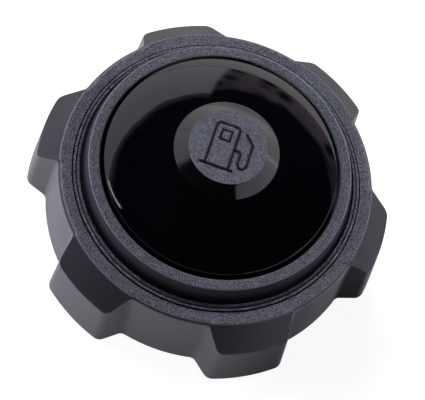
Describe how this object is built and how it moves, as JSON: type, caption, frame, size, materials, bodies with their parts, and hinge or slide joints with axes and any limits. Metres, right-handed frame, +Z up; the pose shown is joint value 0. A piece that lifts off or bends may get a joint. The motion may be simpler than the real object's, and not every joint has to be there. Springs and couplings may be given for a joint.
{
  "type": "fuel filler cap",
  "caption": "Screw-on vented fuel tank cap with a lobed hand grip, a raised collar and a glossy domed cover; it seals a threaded tank neck and vents through an inner valve.",
  "frame": {"origin": "centre of the plane that the skirt's rim stands on", "axes": "+Z up along the cap's axis, out of the dome; +X through the middle of a lobe"},
  "size_m": [0.0722, 0.0682, 0.0301],
  "materials": {
    "grip_plastic": "black moulded plastic, fine grain on the upward faces and satin on the sides",
    "cover_plastic": "polished black plastic with a fine-grained pad",
    "seal_rubber": "black rubber",
    "natural_plastic": "undyed moulded plastic",
    "valve_plastic": "dark moulded plastic",
    "filter_felt": "grey felt",
    "spring_steel": "drawn spring wire"
  },
  "bodies": {
    "cap": {"cap_body": "grip_plastic", "dome_cover": "cover_plastic", "neck_gasket": "seal_rubber", "splash_baffle": "natural_plastic", "vent_filter": "filter_felt", "valve_housing": "natural_plastic", "housing_seal": "seal_rubber", "pressure_spring": "spring_steel", "spring_cap": "natural_plastic"},
    "pressure_valve": {"pressure_disc": "valve_plastic", "pressure_seal": "seal_rubber", "vacuum_spring": "spring_steel"},
    "vacuum_valve": {"vacuum_poppet": "valve_plastic", "vacuum_seal": "seal_rubber", "stem_clip": "spring_steel"}
  },
  "joints": [
    {"name": "pressure_lift", "type": "slide", "parent": "cap", "child": "pressure_valve", "axis": [0, 0, 1], "range_m": [0, 0.0015], "stiffness_N_per_m": 400, "springref_m": -0.003, "deforming": ["pressure_spring"]},
    {"name": "vacuum_drop", "type": "slide", "parent": "pressure_valve", "child": "vacuum_valve", "axis": [0, 0, -1], "range_m": [0, 0.0012], "stiffness_N_per_m": 60, "springref_m": -0.001, "deforming": ["vacuum_spring"]}
  ]
}
